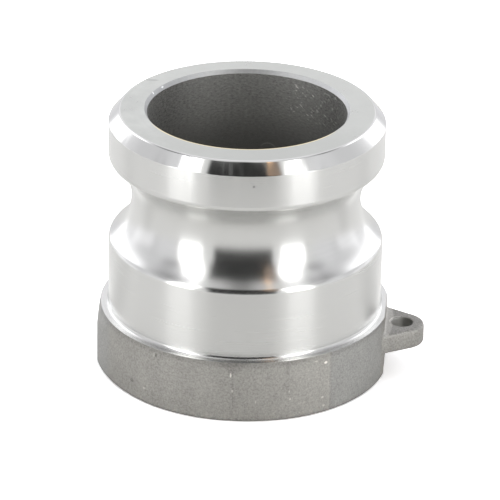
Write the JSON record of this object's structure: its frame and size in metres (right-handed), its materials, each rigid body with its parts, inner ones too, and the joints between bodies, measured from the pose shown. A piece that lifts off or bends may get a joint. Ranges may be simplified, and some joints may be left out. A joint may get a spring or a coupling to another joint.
{
  "type": "camlock adapter",
  "caption": "Male camlock adapter: a turned nose with a cam groove above a cast skirt with a female pipe thread and a chain ear, and a flat thread seal inside.",
  "frame": {"origin": "on the bore's axis, in the plane of the threaded mouth that the adapter stands on", "axes": "+Z along the bore towards the coupling nose, +X through the ear"},
  "size_m": [0.0754, 0.0664, 0.0624],
  "materials": {
    "cast_aluminium": "cast, with the nose, cam groove and barrel turned bright",
    "seal_rubber": "matt moulded ring"
  },
  "bodies": {
    "root": {"adapter_body": "cast_aluminium", "thread_seal": "seal_rubber"}
  },
  "joints": []
}
